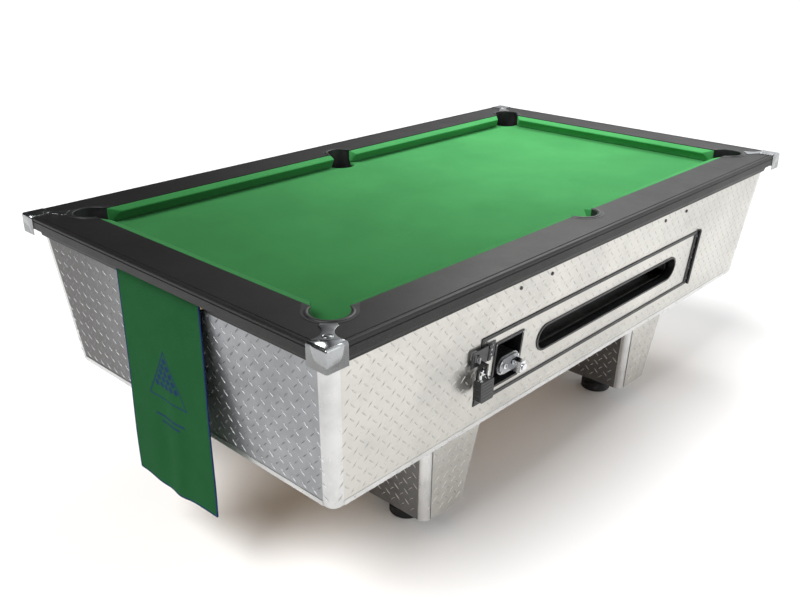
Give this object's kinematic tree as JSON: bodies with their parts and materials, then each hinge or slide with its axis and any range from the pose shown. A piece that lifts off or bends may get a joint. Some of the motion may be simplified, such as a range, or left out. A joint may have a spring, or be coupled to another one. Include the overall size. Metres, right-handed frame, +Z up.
{
  "type": "pool table",
  "caption": "Coin-operated seven-foot pool table with tread-plate cabinet, slate bed, hinged access door, ball runways and a hanging towel.",
  "frame": {"origin": "on the floor, under the middle of the table", "axes": "+X along the table, away from the towel end; +Y across the table, away from the access door; +Z up"},
  "size_m": [2.133, 1.213, 0.8075],
  "materials": {
    "black_laminate": "black speckled satin laminate on timber, rounded bead along the edge",
    "chromed_casting": "polished chromed casting",
    "green_cushion": "rubber cushion covered in green woollen cloth",
    "green_cloth": "tight green woollen cloth",
    "slate": "grey honed slate",
    "black_moulding": "black moulded plastic, satin",
    "plywood": "birch plywood, clear sealed inside",
    "softwood": "planed pine",
    "tread_plate": "bright raised-bar tread plate",
    "bright_aluminium": "bright rolled aluminium, brushed along its length",
    "runway_plastic": "dark moulded runway plastic",
    "plated_steel": "zinc-plated steel",
    "black_steel": "black painted steel, worn at its edges",
    "chromed_steel": "chromed steel rod",
    "zinc_casting": "satin zinc casting",
    "leg_skin": "bright rolled aluminium skin wrapped round a plywood box",
    "foot_rubber": "black moulded rubber foot on a steel stem",
    "towelling": "printed cotton towelling with navy piping"
  },
  "bodies": {
    "table": {"rail_front": "black_laminate", "rail_back": "black_laminate", "rail_left": "black_laminate", "rail_right": "black_laminate", "corner_caps": "chromed_casting", "cushion_front_left": "green_cushion", "cushion_front_right": "green_cushion", "cushion_back_left": "green_cushion", "cushion_back_right": "green_cushion", "cushion_left": "green_cushion", "cushion_right": "green_cushion", "corner_pocket_liners": "black_moulding", "middle_pocket_liners": "black_moulding", "bed_cloth": "green_cloth", "slate_bed": "slate", "slate_bearers": "softwood", "slate_ledgers": "softwood", "front_panel": "plywood", "back_panel": "plywood", "end_panels": "plywood", "front_tread_plate": "tread_plate", "back_tread_plate": "tread_plate", "end_tread_plates": "tread_plate", "corner_posts": "bright_aluminium", "bottom_trims": "bright_aluminium", "base_board": "plywood", "rail_bolts": "black_steel", "legs": "leg_skin", "leg_tread_plates": "tread_plate", "foot_sockets": "plated_steel", "side_gullies": "runway_plastic", "cross_gully": "runway_plastic", "return_runway": "runway_plastic", "ball_trough": "runway_plastic", "frame_hinge_leaf": "black_steel", "hasp_staple": "plated_steel", "coin_mech_body": "zinc_casting", "coin_mech_bracket": "black_steel", "coin_chute": "plated_steel", "cash_box": "plated_steel", "towel": "towelling", "towel_batten": "softwood"},
    "door": {"door_panel": "plywood", "door_tread_plate": "tread_plate", "door_edging": "black_moulding", "slot_edging": "black_moulding", "recess_frame": "black_moulding", "door_hinge_leaf": "black_steel", "hasp_base": "black_steel"},
    "hasp": {"hasp_leaf": "black_steel"},
    "padlock": {"padlock_shackle": "chromed_steel", "padlock_body": "black_steel"},
    "slide": {"coin_slide": "chromed_steel"},
    "rod": {"release_rod": "plated_steel"},
    "flap": {"release_flap": "plated_steel"},
    "foot_front_left": {"foot_front_left": "foot_rubber"},
    "foot_front_right": {"foot_front_right": "foot_rubber"},
    "foot_back_left": {"foot_back_left": "foot_rubber"},
    "foot_back_right": {"foot_back_right": "foot_rubber"}
  },
  "joints": [
    {"name": "door_hinge", "type": "hinge", "parent": "table", "child": "door", "pos_m": [0.59875, -0.54551, 0.43843], "axis": [0, -0.1045, 0.9945], "range_deg": [0, 100]},
    {"name": "hasp_hinge", "type": "hinge", "parent": "door", "child": "hasp", "pos_m": [-0.504, -0.56306, 0.58622], "axis": [0, -0.1045, 0.9945], "range_deg": [0, 104]},
    {"name": "padlock_swing", "type": "hinge", "parent": "hasp", "child": "padlock", "pos_m": [-0.536, -0.57565, 0.55774], "axis": [1, 0, 0], "range_deg": [-70, 8]},
    {"name": "coin_slide", "type": "slide", "parent": "table", "child": "slide", "axis": [0, 1, 0], "range_m": [0, 0.035], "stiffness_N_per_m": 400, "springref_m": -0.005},
    {"name": "release_rod", "type": "slide", "parent": "table", "child": "rod", "axis": [1, 0, 0], "range_m": [0, 0.035]},
    {"name": "release_flap", "type": "hinge", "parent": "table", "child": "flap", "pos_m": [0.482, -0.4785, 0.5508], "axis": [0, 1, 0], "range_deg": [0, 65]},
    {"name": "foot_front_left_screw", "type": "slide", "parent": "table", "child": "foot_front_left", "axis": [0, 0, -1], "range_m": [0, 0.025]},
    {"name": "foot_front_right_screw", "type": "slide", "parent": "table", "child": "foot_front_right", "axis": [0, 0, -1], "range_m": [0, 0.025]},
    {"name": "foot_back_left_screw", "type": "slide", "parent": "table", "child": "foot_back_left", "axis": [0, 0, -1], "range_m": [0, 0.025]},
    {"name": "foot_back_right_screw", "type": "slide", "parent": "table", "child": "foot_back_right", "axis": [0, 0, -1], "range_m": [0, 0.025]}
  ],
  "couplings": [
    {"joint": "release_rod", "follows": "coin_slide", "ratio": 1},
    {"joint": "release_flap", "follows": "coin_slide", "rad_per_m": 32.413}
  ]
}
